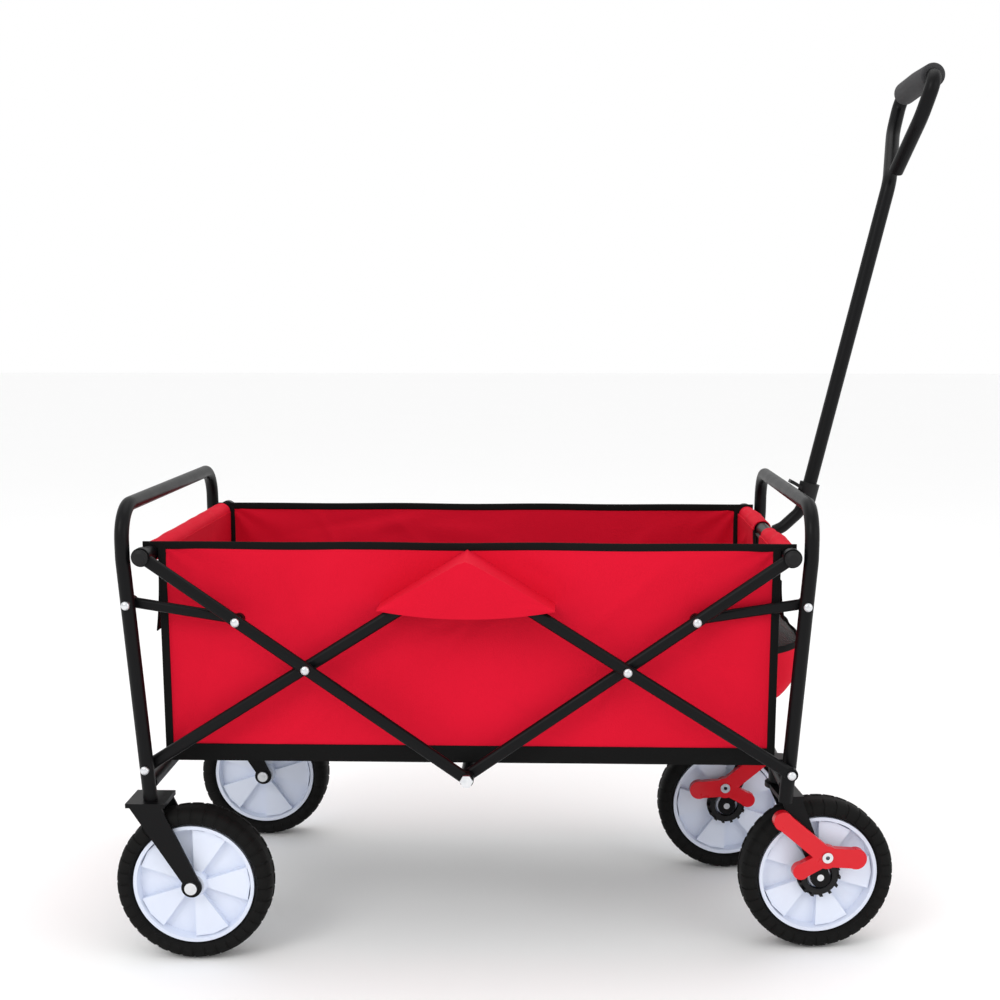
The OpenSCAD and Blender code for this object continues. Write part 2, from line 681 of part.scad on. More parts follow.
centre_tube();
centre_bolts();
long_bar(-1, -outer_y);  // rear_long_bar_near
long_bar(-1, outer_y);  // rear_long_bar_far
top_tube(-1, outer_y);  // rear_top_tube
top_caps(-1, outer_y);  // rear_top_caps
rear_scissor_bolts();
long_bar(1, -inner_y);  // front_long_bar_near
long_bar(1, inner_y);  // front_long_bar_far
top_tube(1, inner_y);  // front_top_tube
top_caps(1, inner_y);  // front_top_caps
front_scissor_bolts();
short_bar(-1, -inner_y, peak_hole_r);  // rear_short_bar_near
short_bar(-1, inner_y, peak_hole_r);  // rear_short_bar_far
short_bar(1, -outer_y, hole_r);  // front_short_bar_near
short_bar(1, outer_y, hole_r);  // front_short_bar_far
top_bolt(-1);  // top_bolt_near
top_bolt(1);  // top_bolt_far
link(-1, -inner_y);  // rear_link_near
link(-1, inner_y);  // rear_link_far
link(1, -front_link_y);  // front_link_near
link(1, front_link_y);  // front_link_far
hoop(-1, outer_y);  // rear_hoop
lower_tube(-1, outer_y);  // rear_lower_tube
rear_yokes();
rear_axles();
rear_frame_bolts();
hoop(1, inner_y);  // front_hoop
front_lower_tube();
stem_sockets();
front_frame_bolts();
rear_tyre(-1);  // rear_tyre_near
rear_rim(-1);  // rear_rim_near
rear_tyre(1);  // rear_tyre_far
rear_rim(1);  // rear_rim_far
caster_fork(-1);  // caster_fork_near
caster_fork(1);  // caster_fork_far
caster_axle(-1);  // caster_axle_near
caster_axle(1);  // caster_axle_far
front_tyre(-1);  // front_tyre_near
front_rim(-1);  // front_rim_near
brake_ring(-1);  // brake_ring_near
front_tyre(1);  // front_tyre_far
front_rim(1);  // front_rim_far
brake_ring(1);  // brake_ring_far
brake_pedal(-1);  // brake_pedal_near
brake_pedal(1);  // brake_pedal_far
handle_lower_tube();
handle_clip();
handle_upper_tube();
handle_grip();
side_walls();
end_walls();
basket_floor();
side_flaps();
front_pouch();
floor_panel(1);  // floor_panel_1
floor_panel(2);  // floor_panel_2
floor_panel(3);  // floor_panel_3
floor_panel(4);  // floor_panel_4
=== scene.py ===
# %% [markdown]
# # A folding camp wagon
#
# The wagon is a fabric basket slung in a folding steel frame. The tubes, bars, bolts and wheels come from
# the measured frame and keep their shape here. What the frame only stands in for, which is everything
# sewn or moulded soft, is modelled around it: the basket's cloth, its tapes, the pouch, the tyres and
# the grip.

import json
import math
import random

import bmesh
import bpy
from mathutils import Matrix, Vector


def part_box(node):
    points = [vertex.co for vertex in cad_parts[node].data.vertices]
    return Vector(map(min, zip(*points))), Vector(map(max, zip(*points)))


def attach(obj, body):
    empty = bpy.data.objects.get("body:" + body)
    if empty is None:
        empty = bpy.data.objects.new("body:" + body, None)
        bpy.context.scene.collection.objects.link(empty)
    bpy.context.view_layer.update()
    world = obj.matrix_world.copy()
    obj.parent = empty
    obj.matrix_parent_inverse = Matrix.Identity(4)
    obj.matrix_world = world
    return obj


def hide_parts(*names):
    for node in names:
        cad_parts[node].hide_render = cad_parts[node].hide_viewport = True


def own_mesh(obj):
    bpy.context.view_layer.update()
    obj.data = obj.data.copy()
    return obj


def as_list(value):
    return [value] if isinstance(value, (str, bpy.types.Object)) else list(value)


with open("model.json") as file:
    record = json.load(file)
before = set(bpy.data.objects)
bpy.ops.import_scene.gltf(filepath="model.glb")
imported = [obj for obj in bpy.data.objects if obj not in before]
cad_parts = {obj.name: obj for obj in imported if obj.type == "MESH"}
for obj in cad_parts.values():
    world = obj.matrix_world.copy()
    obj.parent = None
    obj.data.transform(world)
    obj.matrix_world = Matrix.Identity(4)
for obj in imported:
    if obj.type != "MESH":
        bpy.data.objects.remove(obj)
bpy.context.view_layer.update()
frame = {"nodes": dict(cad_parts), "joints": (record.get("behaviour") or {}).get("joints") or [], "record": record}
slot_of = {part["node"]: part["material_slot"] for part in frame["record"]["subparts"]}
joint_of = {joint["name"]: joint for joint in frame["joints"]}

# %% [markdown]
# ## Places
#
# Every place is read from the frame, so that a piece goes where the metal says. The basket is a plain box
# there. Its middle, half length, half width, foot and rim are all that the cloth needs. The walls hang a
# little below that box, by the height of the hem.

# %% Read the basket's size
MM = 0.001
wall_low, wall_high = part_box("side_walls")
MIDDLE = (wall_low[0] + wall_high[0]) / 2
HALF = (wall_high[0] - wall_low[0]) / 2
SIDE = wall_high[1]
HEM = 9 * MM
FOOT = wall_low[2] - HEM
RIM = wall_high[2]
CLOTH = 1.2 * MM
print("basket half length, half width, foot, rim:", HALF, SIDE, FOOT, RIM)

# %% [markdown]
# ## Helpers for modelling
#
# An operator acts on everything selected, so each helper first selects only its own object. Faces are
# chosen by where they are and which way they face, which still works when a size changes.

# %% Select and finish
def alone(piece):
    """Selects one object and nothing else"""
    bpy.ops.object.select_all(action="DESELECT")
    piece.select_set(True)
    bpy.context.view_layer.objects.active = piece


def label(piece, words):
    """Names an object and its mesh"""
    piece.name = piece.data.name = words.replace(" ", "_")


def named(words):
    """Names the object that an operator has just added"""
    piece = bpy.context.object
    label(piece, words)
    alone(piece)
    return piece


def edit(piece, kind="FACE"):
    """Opens a mesh for editing with nothing chosen"""
    alone(piece)
    bpy.ops.object.mode_set(mode="EDIT")
    bpy.ops.mesh.select_mode(type=kind)
    bpy.ops.mesh.select_all(action="DESELECT")


def choose(piece, test):
    """Chooses the faces for which test(centre, normal) holds"""
    mesh = bmesh.from_edit_mesh(piece.data)
    for face in mesh.faces:
        face.select = bool(test(face.calc_center_median(), face.normal))
    bmesh.update_edit_mesh(piece.data)


def close():
    """Turns every face outward and leaves edit mode"""
    bpy.ops.mesh.select_all(action="SELECT")
    bpy.ops.mesh.normals_make_consistent(inside=False)
    bpy.ops.object.mode_set(mode="OBJECT")


def settle(piece):
    """Moves the object's place, turn and scale into its mesh"""
    alone(piece)
    bpy.ops.object.transform_apply(location=True, rotation=True, scale=True)


def modify(piece, kind, **settings):
    """Adds a modifier and applies it"""
    alone(piece)
    modifier = piece.modifiers.new(kind.title(), kind)
    for key, value in settings.items():
        setattr(modifier, key, value)
    bpy.ops.object.modifier_apply(modifier=modifier.name)


def smooth(piece, degrees=35):
    """Shades smoothly, but keeps edges sharper than the angle"""
    alone(piece)
    bpy.ops.object.shade_smooth_by_angle(angle=math.radians(degrees))


# %% [markdown]
# ## Helpers for finishes
#
# A finish is a small sum of textures. Written as sockets and links it would be hard to read, so a value
# that comes out of a node can be added and multiplied like a number, and one method adds any other node.

# %% Values that can be added and multiplied
class Value:
    """What comes out of a shader node"""

    def __init__(self, tree, socket):
        self.tree, self.socket = tree, socket

    def math(self, operation, other=0.0, flipped=False):
        node = self.tree.nodes.new("ShaderNodeMath")
        node.operation = operation
        pair = (other, self) if flipped else (self, other)
        for socket, value in zip(node.inputs, pair):
            plug(self.tree, socket, value)
        return Value(self.tree, node.outputs[0])

    def __add__(self, other):
        return self.math("ADD", other)

    def __sub__(self, other):
        return self.math("SUBTRACT", other)

    def __rsub__(self, other):
        return self.math("SUBTRACT", other, flipped=True)

    def __mul__(self, other):
        return self.math("MULTIPLY", other)

    def __truediv__(self, other):
        return self.math("DIVIDE", other)

    def __rtruediv__(self, other):
        return self.math("DIVIDE", other, flipped=True)

    __radd__ = __add__
    __rmul__ = __mul__


def plug(tree, socket, value):
    """Links a value to a socket, or sets a plain number or colour on it"""
    if isinstance(value, Value):
        tree.links.new(value.socket, socket)
    else:
        socket.default_value = value


class Finish:
    """A material with its own name, constants and varied sockets"""

    def __init__(self, name, **constants):
        self.material = bpy.data.materials.new(name)
        self.material.use_nodes = True
        self.tree = self.material.node_tree
        self.shader = self.tree.nodes["Principled BSDF"]
        for key, value in constants.items():
            self.shader.inputs[key.replace("_", " ")].default_value = value

    def node(self, kind, out=0, settings=(), **inputs):
        node = self.tree.nodes.new("ShaderNode" + kind)
        for key, value in dict(settings).items():
            setattr(node, key, value)
        for key, value in inputs.items():
            plug(self.tree, node.inputs[key], value)
        return Value(self.tree, node.outputs[out])

    def place(self):
        return self.node("TexCoord", out="Object")

    def grain(self, scale, detail=3.0, vector=None):
        return self.node("TexNoise", Vector=vector or self.place(), Scale=scale, Detail=detail)

    def between(self, share, first, second):
        node = self.tree.nodes.new("ShaderNodeMix")
        node.data_type = "RGBA"
        plug(self.tree, node.inputs[0], share)
        plug(self.tree, node.inputs[6], first)
        plug(self.tree, node.inputs[7], second)
        return Value(self.tree, node.outputs[2])

    def vary(self, socket, value):
        plug(self.tree, self.shader.inputs[socket], value)
        return self

    def bump(self, height, distance, strength=1.0):
        node = self.node("Bump", Height=height, Distance=distance, Strength=strength)
        return self.vary("Normal", node)


print("helpers ready")

# %% [markdown]
# ## Finishes
#
# The cloth is a coated oxford weave: matt, a little uneven, with a fine thread grain. The steel is satin
# black powder coat, which has a faint orange-peel surface. The rims are a cool white plastic and the pedals
# glossy red.

# %% Make the cloth finishes
def woven(name, dark, light, thread=900.0, rough=0.72):
    cloth = Finish(name, Specular_IOR_Level=0.12)
    patches = cloth.grain(7.0, 4.0)
    threads = cloth.grain(thread, 1.0)
    cloth.vary("Base Color", cloth.between(patches * 0.7 + threads * 0.3, dark, light))
    cloth.vary("Roughness", rough + 0.12 * threads)
    return cloth.bump(threads * 0.05 + patches * 1.0, 0.005, 0.8)


red_cloth = woven("red oxford cloth", (0.53, 0.002, 0.016, 1), (0.72, 0.005, 0.030, 1))
black_cloth = woven("black oxford cloth", (0.004, 0.004, 0.0045, 1), (0.009, 0.009, 0.010, 1))
black_tape = woven("black binding tape", (0.003, 0.003, 0.003, 1), (0.007, 0.007, 0.007, 1), 1400.0, 0.8)


def netting(name, pitch):
    net = Finish(name, Roughness=0.8)
    net.shader.inputs["Base Color"].default_value = (0.012, 0.012, 0.012, 1)
    parts = net.node("SeparateXYZ", Vector=net.place())
    across = Value(net.tree, parts.socket.node.outputs["Y"])
    up = Value(net.tree, parts.socket.node.outputs["Z"])
    turns = 2 * math.pi / pitch
    holes = (across * turns).math("SINE") * (up * turns).math("SINE")
    net.vary("Alpha", 1.0 - holes.math("ABSOLUTE").math("GREATER_THAN", 0.45) * 0.75)
    return net


black_net = netting("black netting", 3.2 * MM)
print("cloth finishes ready")

# %% Make the hard finishes
powder_coat = Finish("black powder coat", Coat_Weight=0.04, Coat_Roughness=0.2, Specular_IOR_Level=0.12)
powder_coat.shader.inputs["Base Color"].default_value = (0.0025, 0.0025, 0.003, 1)
powder_coat.vary("Roughness", 0.36 + 0.12 * powder_coat.grain(40.0))
powder_coat.bump(powder_coat.grain(900.0, 2.0), 0.00025, 0.35)

zinc = Finish("bright zinc plate", Metallic=1.0)
zinc.vary("Base Color", zinc.between(zinc.grain(120.0), (0.55, 0.57, 0.60, 1), (0.82, 0.83, 0.84, 1)))
zinc.vary("Roughness", 0.22 + 0.18 * zinc.grain(300.0))

tyre_rubber = Finish("tyre rubber", Specular_IOR_Level=0.12)
dust = tyre_rubber.grain(35.0, 5.0)
clean_rubber, dusty_rubber = (0.0025, 0.0025, 0.0025, 1), (0.008, 0.0078, 0.0075, 1)
tyre_rubber.vary("Base Color", tyre_rubber.between(dust, clean_rubber, dusty_rubber))
tyre_rubber.vary("Roughness", 0.62 + 0.2 * dust)
tyre_rubber.bump(tyre_rubber.grain(500.0), 0.0004, 0.5)

white_plastic = Finish("white rim plastic", Coat_Weight=0.08)
shade = white_plastic.grain(14.0, 2.0)
shaded_white, full_white = (0.66, 0.71, 0.84, 1), (0.74, 0.79, 0.90, 1)
white_plastic.vary("Base Color", white_plastic.between(shade, shaded_white, full_white))
white_plastic.vary("Roughness", 0.38 + 0.1 * shade)

black_plastic = Finish("black plastic", Specular_IOR_Level=0.25)
black_plastic.shader.inputs["Base Color"].default_value = (0.005, 0.005, 0.0055, 1)
black_plastic.vary("Roughness", 0.45 + 0.15 * black_plastic.grain(200.0))

red_plastic = Finish("glossy red plastic", Coat_Weight=0.1, Coat_Roughness=0.12, Specular_IOR_Level=0.3)
red_plastic.shader.inputs["Base Color"].default_value = (0.60, 0.003, 0.012, 1)
red_plastic.vary("Roughness", 0.24 + 0.1 * red_plastic.grain(60.0))

grip_foam = Finish("grip foam")
pores = grip_foam.node("TexVoronoi", Vector=grip_foam.place(), Scale=900.0)
grip_foam.vary("Base Color", grip_foam.between(pores, (0.010, 0.010, 0.011, 1), (0.045, 0.045, 0.048, 1)))
grip_foam.vary("Roughness", 0.82 + 0.1 * pores)
grip_foam.bump(pores, 0.0006, 0.6)

board = woven("covered floor board", (0.010, 0.010, 0.011, 1), (0.026, 0.026, 0.028, 1))

finishes = {
    "black_metal": powder_coat,
    "zinc_steel": zinc,
    "tyre": tyre_rubber,
    "rim": white_plastic,
    "black_plastic": black_plastic,
    "red_plastic": red_plastic,
    "foam": grip_foam,
    "red_fabric": red_cloth,
    "black_fabric": black_cloth,
    "panel": board,
}
for node, piece in frame["nodes"].items():
    piece.data.materials.clear()
    piece.data.materials.append(finishes[slot_of[node]].material)
print("finished", len(frame["nodes"]), "frame pieces")


def wear(piece, finish):
    """Gives a piece its finish"""
    piece.data.materials.clear()
    piece.data.materials.append(finish.material)
    return piece


# %% [markdown]
# ## How the cloth hangs
#
# The basket is sewn flat and pulled tight between the rim, the floor and the four corners, so it has shallow
# creases where it is pulled and a slow swell between its edges. A simulation of a sheet held on all sides
# comes out flat, so the creases are laid by a formula: each is a long narrow hump with its own place and lean.

# %% Lay creases
def creases(seed, width, height, count):
    draw = random.Random(seed)
    return [
        {
            "across": draw.uniform(-0.48, 0.48) * width,
            "up": draw.uniform(0.05, 0.95) * height,
            "lean": draw.uniform(-1.2, 1.2),
            "long": draw.uniform(0.03, 0.11),
            "wide": draw.uniform(0.005, 0.014),
            "deep": draw.choice((-1, 1)) * draw.uniform(0.4, 1.5) * MM,
        }
        for _ in range(count)
    ]


def creased(laid, across, up):
    """How far the creases push the cloth out at a point"""
    total = 0.0
    for crease in laid:
        a, b = across - crease["across"], up - crease["up"]
        along = a * math.cos(crease["lean"]) + b * math.sin(crease["lean"])
        aside = b * math.cos(crease["lean"]) - a * math.sin(crease["lean"])
        fade = (along / crease["long"]) ** 2 + (aside / crease["wide"]) ** 2
        total += crease["deep"] * math.exp(-fade)
    return total


def fan(across, up, reach=0.11, ribs=11, deep=1.0 * MM):
    """Ribs that spread from a corner where the cloth is pulled"""
    far = math.hypot(across, up) + 1e-6
    turn = math.atan2(up, across)
    return deep * math.sin(turn * ribs) * math.exp(-far / reach) * min(1.0, far / 0.015)


def cloth(name, columns, rows, place, thick=1.4 * MM):
    """A sheet whose points go where place(across, up) says, with both from 0 to 1"""
    bpy.ops.object.select_all(action="DESELECT")
    bpy.ops.mesh.primitive_grid_add(x_subdivisions=columns, y_subdivisions=rows, size=1)
    piece = named(name)
    for point in piece.data.vertices:
        point.co = place(point.co.x + 0.5, point.co.y + 0.5)
    edit(piece)
    bpy.ops.mesh.select_all(action="SELECT")
    bpy.ops.mesh.remove_doubles(threshold=0.1 * MM)
    close()
    modify(piece, "SOLIDIFY", thickness=thick, offset=0)
    smooth(piece, 60)
    return piece


def folds_flat(piece):
    """Lets a soft piece move with the basket, on a mesh of its own"""
    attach(piece, "basket")
    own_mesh(piece)
    return piece


print("one crease pushes", round(creased(creases(1, 0.6, 0.2, 1), 0, 0.1) * 1000, 3), "mm at the middle")

# %% [markdown]
# ## Side walls
#
# Each side wall is one panel from the floor to the rim. It swells outward a little between its edges
# and is drawn tight at its four corners.

# %% Sew the side walls
def side_wall(side):
    laid = creases(11 if side < 0 else 23, 2 * HALF, RIM - FOOT, 34)

    def place(across, up):
        x, z = (across - 0.5) * 2 * HALF, up * (RIM - FOOT)
        out = 1.2 * MM * math.sin(math.pi * up) * math.sin(math.pi * across)
        edge = min(1.0, 8 * up, 8 * (1 - up), 12 * across, 12 * (1 - across))
        out += edge * creased(laid, x, z)
        for end in (-1, 1):
            out += fan(HALF - end * x, RIM - FOOT - z) + 0.7 * fan(HALF - end * x, z)
        return (MIDDLE + x, side * (SIDE - CLOTH + min(out, 2.4 * MM)), FOOT + z)

    return cloth("side wall " + ("near" if side < 0 else "far"), 230, 84, place)


side_cloths = [side_wall(side) for side in (-1, 1)]
for piece in side_cloths:
    wear(piece, red_cloth)
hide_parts("side_walls")
print([len(piece.data.vertices) for piece in side_cloths], "points in the side walls")

# %% [markdown]
# ## End walls and their sleeves
#
# The end walls are sewn into sleeves round the top cross tubes, which hold the basket up at its ends.
# The front wall dips at its middle, where the handle's cradle sits on the tube. Each sleeve is a tube of
# cloth on the tube, and it moves with the tube.

# %% Sew the end walls
NOTCH = 30 * MM
NOTCH_DEEP = 34 * MM
tube_low, tube_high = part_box("front_top_tube")
TUBE_X = (tube_low[0] + tube_high[0]) / 2 - MIDDLE
TUBE_Z = (tube_low[2] + tube_high[2]) / 2
SLEEVE = (tube_high[2] - tube_low[2]) / 2 + 2.2 * MM


def dip(y):
    """How far the front wall's edge dips beside the handle"""
    return NOTCH_DEEP * max(0.0, 1 - (y / NOTCH) ** 4) if abs(y) < NOTCH else 0.0


def end_wall(end):
    laid = creases(5 if end < 0 else 9, 2 * SIDE, RIM - FOOT, 18)

    def place(across, up):
        y = (across - 0.5) * 2 * (SIDE - 1.5 * MM)
        top = TUBE_Z - (dip(y) if end > 0 else 0.0)
        z = up * (top - FOOT)
        edge = min(1.0, 8 * up, 8 * (1 - up), 12 * across, 12 * (1 - across))
        out = 1.5 * MM * math.sin(math.pi * up) + edge * creased(laid, y, z)
        return (MIDDLE + end * (HALF - 1.5 * MM + min(out, 4 * MM)), y, FOOT + z)

    return cloth("end wall " + ("rear" if end < 0 else "front"), 120, 80, place)


end_cloths = [end_wall(end) for end in (-1, 1)]
for piece in end_cloths:
    wear(piece, red_cloth)
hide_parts("end_walls")


def sleeve(name, end, start, stop):
    laid = creases(31 + end, stop - start, 2 * math.pi * SLEEVE, 16)

    def place(across, round_it):
        y = start + across * (stop - start)
        turn = 2 * math.pi * round_it
        push = creased(laid, y - (start + stop) / 2, round_it * 2 * math.pi * SLEEVE)
        radius = SLEEVE + 0.4 * MM + 0.5 * push
        return (MIDDLE + end * TUBE_X + radius * math.cos(turn), y, TUBE_Z + radius * math.sin(turn))

    piece = cloth(name, 60, 36, place, thick=1.2 * MM)
    wear(piece, red_cloth)
    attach(piece, "front_scissor" if end > 0 else "rear_scissor")
    return piece


SLEEVE_END = SIDE - 4 * MM
sleeves = [
    sleeve("rear sleeve", -1, -SLEEVE_END, SLEEVE_END),
    sleeve("front sleeve near", 1, -SLEEVE_END, -NOTCH),
    sleeve("front sleeve far", 1, NOTCH, SLEEVE_END),
]
print("sleeve radius", round(SLEEVE * 1000, 1), "mm")

# %% [markdown]
# ## Floor cloth
#
# Under the stiff boards a black cloth closes the basket. It is nearly flat, because the boards press it down.

# %% Lay the floor cloth
def floor_place(across, along):
    x, y = (across - 0.5) * 2 * (HALF - 2 * MM), (along - 0.5) * 2 * (SIDE - 2 * MM)
    sag = 1.2 * MM * math.sin(9 * x + 4 * y) * math.sin(math.pi * across) * math.sin(math.pi * along)
    return (MIDDLE + x, y, FOOT + 1.0 * MM - max(0.0, sag))


floor_cloth = wear(cloth("floor cloth", 90, 48, floor_place), black_cloth)
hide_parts("basket_floor")
print("floor cloth laid")

# %% [markdown]
# ## Peak flaps
#
# A flap on each side runs from the rim out over the peak where the two short bars meet, and hangs in front
# of it. From the side it is a shallow roof whose lower edge sags between its corners.

# %% Sew the flaps
flap_low, flap_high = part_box("side_flaps")
FLAP_HALF = (flap_high[0] - flap_low[0]) / 2
RIDGE_Y = flap_high[1] - 1.2 * MM
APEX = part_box("front_short_bar_near")[1][2] + 3.5 * MM
FLAP_DROP = 56 * MM
FLAP_SAG = 9 * MM
SEAM_TOP = RIM - 7 * MM


def flap(side):
    laid = creases(41 if side < 0 else 47, 2 * FLAP_HALF, 0.06, 14)

    def place(across, out):
        s = 2 * across - 1
        ridge = APEX - FLAP_DROP * abs(s) - 2 * MM * math.exp(-((s / 0.06) ** 2))
        seam = SEAM_TOP - (SEAM_TOP - APEX + FLAP_DROP) * abs(s)
        foot = min(ridge, APEX - FLAP_DROP - FLAP_SAG * (1 - s * s))
        if out < 0.45:
            share = out / 0.45
            y, z = SIDE + (RIDGE_Y - SIDE) * share, seam + (ridge - seam) * share
        else:
            share = (out - 0.45) / 0.55
            y, z = RIDGE_Y + 1.2 * MM * math.sin(math.pi * share), ridge + (foot - ridge) * share
        push = creased(laid, s * FLAP_HALF, 0.06 * out)
        return (MIDDLE + FLAP_HALF * 0.985 * s, side * (y + 0.6 * push), z)

    return cloth("peak flap " + ("near" if side < 0 else "far"), 90, 60, place, thick=1.0 * MM)


flaps = [wear(flap(side), red_cloth) for side in (-1, 1)]
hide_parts("side_flaps")
print("flap reaches", round(RIDGE_Y * 1000, 1), "mm out")

# %% [markdown]
# ## Front pouch
#
# A pocket is sewn on the outside of the front wall. Its lower part is red cloth that sags, and its upper part
# is netting that leans back to the wall. Both are one swept curve, pinched at the pocket's two ends.

# %% Sew the pouch
pouch_low, pouch_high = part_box("front_pouch")
POUCH_HALF = pouch_high[1]
POUCH_FOOT = pouch_low[2]
POUCH_TOP = pouch_high[2]
POUCH_DEEP = pouch_high[0] - pouch_low[0] - 2 * MM
MOUTH = POUCH_FOOT + 0.56 * (POUCH_TOP - POUCH_FOOT)


def pinch(y):
    return max(0.04, 1 - abs(y / POUCH_HALF) ** 5)


def pouch_cloth(across, up):
    y = (across - 0.5) * 2 * POUCH_HALF
    full = math.sin(math.pi * (0.08 + 0.62 * up)) ** 0.55
    wave = 1.6 * MM * math.sin(34 * y) * math.sin(math.pi * up) + 1.0 * MM * math.sin(95 * y + 5 * up)
    x = (POUCH_DEEP * full + wave) * pinch(y)
    return (pouch_low[0] + 1.5 * MM + max(0.0, x), y, POUCH_FOOT + up * (MOUTH - POUCH_FOOT))


def pouch_net(across, up):
    y = (across - 0.5) * 2 * POUCH_HALF
    mouth_x = POUCH_DEEP * math.sin(math.pi * 0.70) ** 0.55
    x = mouth_x * (1 - up) ** 1.3 * pinch(y)
    return (pouch_low[0] + 1.5 * MM + x, y, MOUTH + up * (POUCH_TOP - MOUTH))


pocket = wear(cloth("pouch cloth", 110, 36, pouch_cloth, thick=1.0 * MM), red_cloth)
netted = wear(cloth("pouch netting", 110, 24, pouch_net, thick=0.6 * MM), black_net)
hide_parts("front_pouch")
print("pouch mouth at", round(MOUTH, 3))

# %% [markdown]
# ## Tapes
#
# All raw edges are bound in black tape: the rim, the dip in the front wall, the pouch's mouth, the four
# corners and a broad band round the foot. A tape follows its edge, so it is drawn as a line of points and
# given its height and thickness along that line.

# %% Bind the edges
def tape(name, points, height, thick=1.6 * MM, closed=False):
    """A strip that stands on edge along a line of points"""
    line = bpy.data.curves.new(name, "CURVE")
    line.dimensions = "3D"
    line.twist_mode = "Z_UP"
    line.extrude = height / 2 - thick / 2
    line.bevel_depth = thick / 2
    line.bevel_resolution = 2
    spline = line.splines.new("POLY")
    spline.points.add(len(points) - 1)
    for point, place in zip(spline.points, points):
        point.co = (*place, 1)
    spline.use_cyclic_u = closed
    line.use_fill_caps = True
    piece = bpy.data.objects.new(name, line)
    bpy.context.scene.collection.objects.link(piece)
    alone(piece)
    bpy.ops.object.convert(target="MESH")
    piece = named(name)
    edit(piece)
    bpy.ops.mesh.select_all(action="SELECT")
    bpy.ops.mesh.remove_doubles(threshold=0.02 * MM)
    close()
    smooth(piece, 50)
    return wear(piece, black_tape)


def run(start, stop, count, wave=0.5 * MM):
    """Points from start to stop, with a slight wave up and down"""
    steps = [i / (count - 1) for i in range(count)]
    return [
        (
            start[0] + t * (stop[0] - start[0]),
            start[1] + t * (stop[1] - start[1]),
            start[2] + t * (stop[2] - start[2]) + wave * math.sin(23 * t) * math.sin(math.pi * t),
        )
        for t in steps
    ]


BINDING = 9 * MM
rim_z = RIM - 3.5 * MM
RIM_END = TUBE_X + SLEEVE - 2 * MM
rim_tapes = [
    tape(
        "rim tape " + word,
        run(
            (MIDDLE - RIM_END, side * (SIDE - CLOTH), rim_z),
            (MIDDLE + RIM_END, side * (SIDE - CLOTH), rim_z),
            70,
        ),
        BINDING,
        3.4 * MM,
    )
    for side, word in ((-1, "near"), (1, "far"))
]
dip_tape = tape(
    "dip tape",
    [
        (MIDDLE + HALF, y * MM, TUBE_Z - dip(y * MM) - 2 * MM)
        for y in range(-30, 31, 2)
    ],
    7 * MM,
    3.6 * MM,
)
mouth_tape = tape(
    "mouth tape",
    [tuple(a + b for a, b in zip(pouch_cloth(i / 60, 1.0), (0.3 * MM, 0, 0))) for i in range(61)],
    8 * MM,
    2.2 * MM,
)


def foot_band():
    """A broad band round the basket's foot, with rounded corners"""
    turn = 9 * MM
    points = []
    for corner in range(4):
        sx, sy = ((1, 1), (-1, 1), (-1, -1), (1, -1))[corner]
        for step in range(7):
            angle = math.pi / 2 * (corner + step / 6)
            points.append(
                (
                    MIDDLE + sx * (HALF + 0.4 * MM - turn) + turn * math.cos(angle),
                    sy * (SIDE + 0.4 * MM - turn) + turn * math.sin(angle),
                    FOOT + 9 * MM,
                )
            )
    return tape("foot band", points, 20 * MM, 1.8 * MM, closed=True)


band = foot_band()
print("bound", len(rim_tapes) + 3, "edges")

# %% [markdown]
# ## Corner bindings and straps
#
# A strip of tape stands at each corner of the basket, and short webbing straps hang at the ends for tying
# the folded wagon shut. Each is a box with its edges rounded off, and the straps are curved a little.

# %% Cut the corner strips and straps
def strip(name, centre, size, round_off=0.8 * MM):
    bpy.ops.object.select_all(action="DESELECT")
    bpy.ops.mesh.primitive_cube_add(size=1, location=centre, scale=size)
    piece = named(name)
    settle(piece)
    modify(piece, "BEVEL", width=round_off, segments=3)
    smooth(piece, 50)
    return wear(piece, black_tape)


corners = []
for end, end_word in ((-1, "rear"), (1, "front")):
    for side, side_word in ((-1, "near"), (1, "far")):
        corners.append(
            strip(
                f"corner tape {end_word} {side_word}",
                (MIDDLE + end * (HALF - 3 * MM), side * (SIDE - 1.0 * MM), (FOOT + RIM) / 2),
                (9 * MM, 4.4 * MM, RIM - FOOT - 6 * MM),
                1.6 * MM,
            )
        )


def strap(name, end, y, top, length):
    """A hanging strap that curls away from the wall towards its end"""
    piece = strip(name, (0, 0, 0), (1.8 * MM, 25 * MM, length), 0.6 * MM)
    edit(piece)
    bpy.ops.mesh.select_all(action="SELECT")
    bpy.ops.mesh.subdivide(number_cuts=5)
    close()
    for point in piece.data.vertices:
        hang = 0.5 - point.co.z / length
        point.co.x += end * 5 * MM * hang * hang
        point.co.x += MIDDLE + end * (HALF + 3.5 * MM)
        point.co.y += y
        point.co.z += top - length / 2
    return piece


straps = [
    strap("rear strap near", -1, -(SIDE - 22 * MM), TUBE_Z - 18 * MM, 74 * MM),
    strap("rear strap far", -1, SIDE - 22 * MM, TUBE_Z - 18 * MM, 74 * MM),
    strap("front tab near", 1, -(SIDE - 20 * MM), TUBE_Z - 30 * MM, 46 * MM),
    strap("front tab far", 1, SIDE - 20 * MM, TUBE_Z - 30 * MM, 46 * MM),
]
cloths = side_cloths + end_cloths + [floor_cloth] + flaps + [pocket, netted]
for piece in cloths + rim_tapes + corners + straps:
    folds_flat(piece)
for piece in (dip_tape, mouth_tape, band):
    folds_flat(piece)
print(len(corners), "corner tapes and", len(straps), "straps")

# %% [markdown]
# ## Sizes of the cloths
#
# The end wall's flat size and each sleeve's length are worked out here, and nothing more is done with them.

